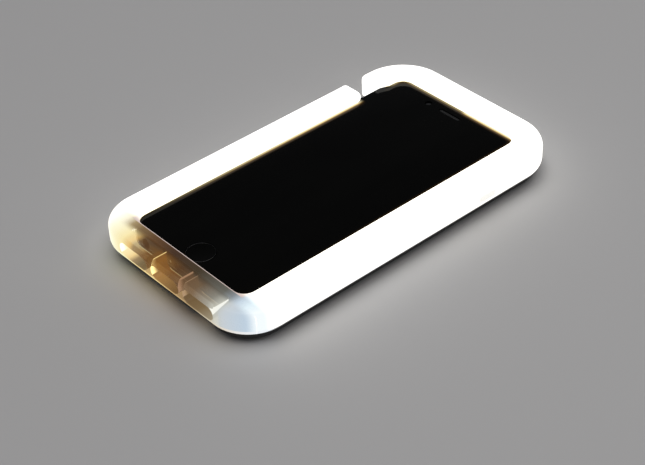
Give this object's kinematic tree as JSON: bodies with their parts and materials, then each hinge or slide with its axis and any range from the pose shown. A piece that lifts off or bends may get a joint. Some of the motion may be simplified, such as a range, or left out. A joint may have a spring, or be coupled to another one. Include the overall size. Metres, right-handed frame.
{
  "type": "light-up phone case with smartphone",
  "caption": "Slab smartphone with a home button in a protective case whose translucent frame is lit from inside.",
  "frame": {"origin": "on the surface that the case's back lies on, under the phone's centre, which is 0.8 mm nearer the bottom end than the middle of the case", "axes": "+Z out of the screen, +Y along the length towards the phone's top end, +X to the right of a person facing the screen"},
  "size_m": [0.0878, 0.1558, 0.0138],
  "materials": {
    "diffuser": "milky translucent, lit white from inside",
    "cover": "matt black",
    "felt": "short black pile",
    "tray": "satin sheet",
    "pouch": "foil pouch",
    "phone_pouch": "black wrapped pouch",
    "board": "green solder mask",
    "flex": "amber film",
    "strip": "white film with lit packages",
    "led": "clear lens over phosphor",
    "steel": "bright",
    "chip": "black moulding",
    "housing": "dark grey, bead-blasted and anodised",
    "dark_ring": "dark polished",
    "glass": "black backed, polished",
    "display": "black, screen off",
    "lens": "coated"
  },
  "bodies": {
    "case_and_phone": {"diffuser_frame": "diffuser", "back_cover": "cover", "camera_bezel": "cover", "phone_tray": "tray", "cushion_pad": "felt", "case_battery": "pouch", "control_board": "board", "micro_usb_socket": "steel", "charger_chip": "chip", "boost_inductor": "chip", "light_switch": "steel", "charge_light_pipe": "led", "led_strip_left": "strip", "led_strip_right": "strip", "led_strip_top": "strip", "strip_lead_left": "flex", "strip_lead_right": "flex", "strip_lead_top": "flex", "tray_screw_1": "steel", "tray_screw_2": "steel", "tray_screw_3": "steel", "tray_screw_4": "steel", "phone_housing": "housing", "front_glass": "glass", "display_panel": "display", "home_button_ring": "dark_ring", "home_switch": "flex", "sim_tray": "housing", "phone_battery": "phone_pouch", "logic_board": "board", "shield_can_lower": "steel", "shield_can_upper": "steel", "rear_camera": "chip", "camera_ring": "housing", "camera_glass": "lens", "flash_lens": "led", "front_camera": "chip", "earpiece_speaker": "chip", "earpiece_mesh": "dark_ring", "loudspeaker": "chip", "vibration_motor": "steel", "charging_connector": "steel", "headphone_jack": "chip", "bottom_screw_left": "steel", "bottom_screw_right": "steel"},
    "light_button": {"light_button": "cover"},
    "volume_up_plunger": {"volume_up_plunger": "diffuser"},
    "volume_down_plunger": {"volume_down_plunger": "diffuser"},
    "power_plunger": {"power_plunger": "diffuser"},
    "volume_up_key": {"volume_up_key": "housing"},
    "volume_down_key": {"volume_down_key": "housing"},
    "power_key": {"power_key": "housing"},
    "home_button": {"home_button_cap": "glass"},
    "ring_switch": {"ring_switch": "housing"}
  },
  "joints": [
    {"name": "light_button_press", "type": "slide", "parent": "case_and_phone", "child": "light_button", "axis": [0, 0, 1], "range_m": [0, 0.00025], "stiffness_N_per_m": 2000, "springref_m": -0.0003},
    {"name": "volume_up_press", "type": "slide", "parent": "case_and_phone", "child": "volume_up_plunger", "axis": [1, 0, 0], "range_m": [0, 0.00035], "stiffness_N_per_m": 2000, "springref_m": -0.0003},
    {"name": "volume_down_press", "type": "slide", "parent": "case_and_phone", "child": "volume_down_plunger", "axis": [1, 0, 0], "range_m": [0, 0.00035], "stiffness_N_per_m": 2000, "springref_m": -0.0003},
    {"name": "power_press", "type": "slide", "parent": "case_and_phone", "child": "power_plunger", "axis": [-1, 0, 0], "range_m": [0, 0.00035], "stiffness_N_per_m": 2000, "springref_m": -0.0003},
    {"name": "volume_up_key_press", "type": "slide", "parent": "case_and_phone", "child": "volume_up_key", "axis": [1, 0, 0], "range_m": [0, 0.00035], "stiffness_N_per_m": 2000, "springref_m": -0.0003},
    {"name": "volume_down_key_press", "type": "slide", "parent": "case_and_phone", "child": "volume_down_key", "axis": [1, 0, 0], "range_m": [0, 0.00035], "stiffness_N_per_m": 2000, "springref_m": -0.0003},
    {"name": "power_key_press", "type": "slide", "parent": "case_and_phone", "child": "power_key", "axis": [-1, 0, 0], "range_m": [0, 0.00035], "stiffness_N_per_m": 2000, "springref_m": -0.0003},
    {"name": "home_button_press", "type": "slide", "parent": "case_and_phone", "child": "home_button", "axis": [0, 0, -1], "range_m": [0, 0.0003], "stiffness_N_per_m": 2000, "springref_m": -0.0003},
    {"name": "ring_switch_slide", "type": "slide", "parent": "case_and_phone", "child": "ring_switch", "axis": [0, 0, -1], "range_m": [0, 0.0012]}
  ],
  "couplings": [
    {"joint": "volume_up_key_press", "follows": "volume_up_press", "ratio": 1},
    {"joint": "volume_down_key_press", "follows": "volume_down_press", "ratio": 1},
    {"joint": "power_key_press", "follows": "power_press", "ratio": 1}
  ]
}
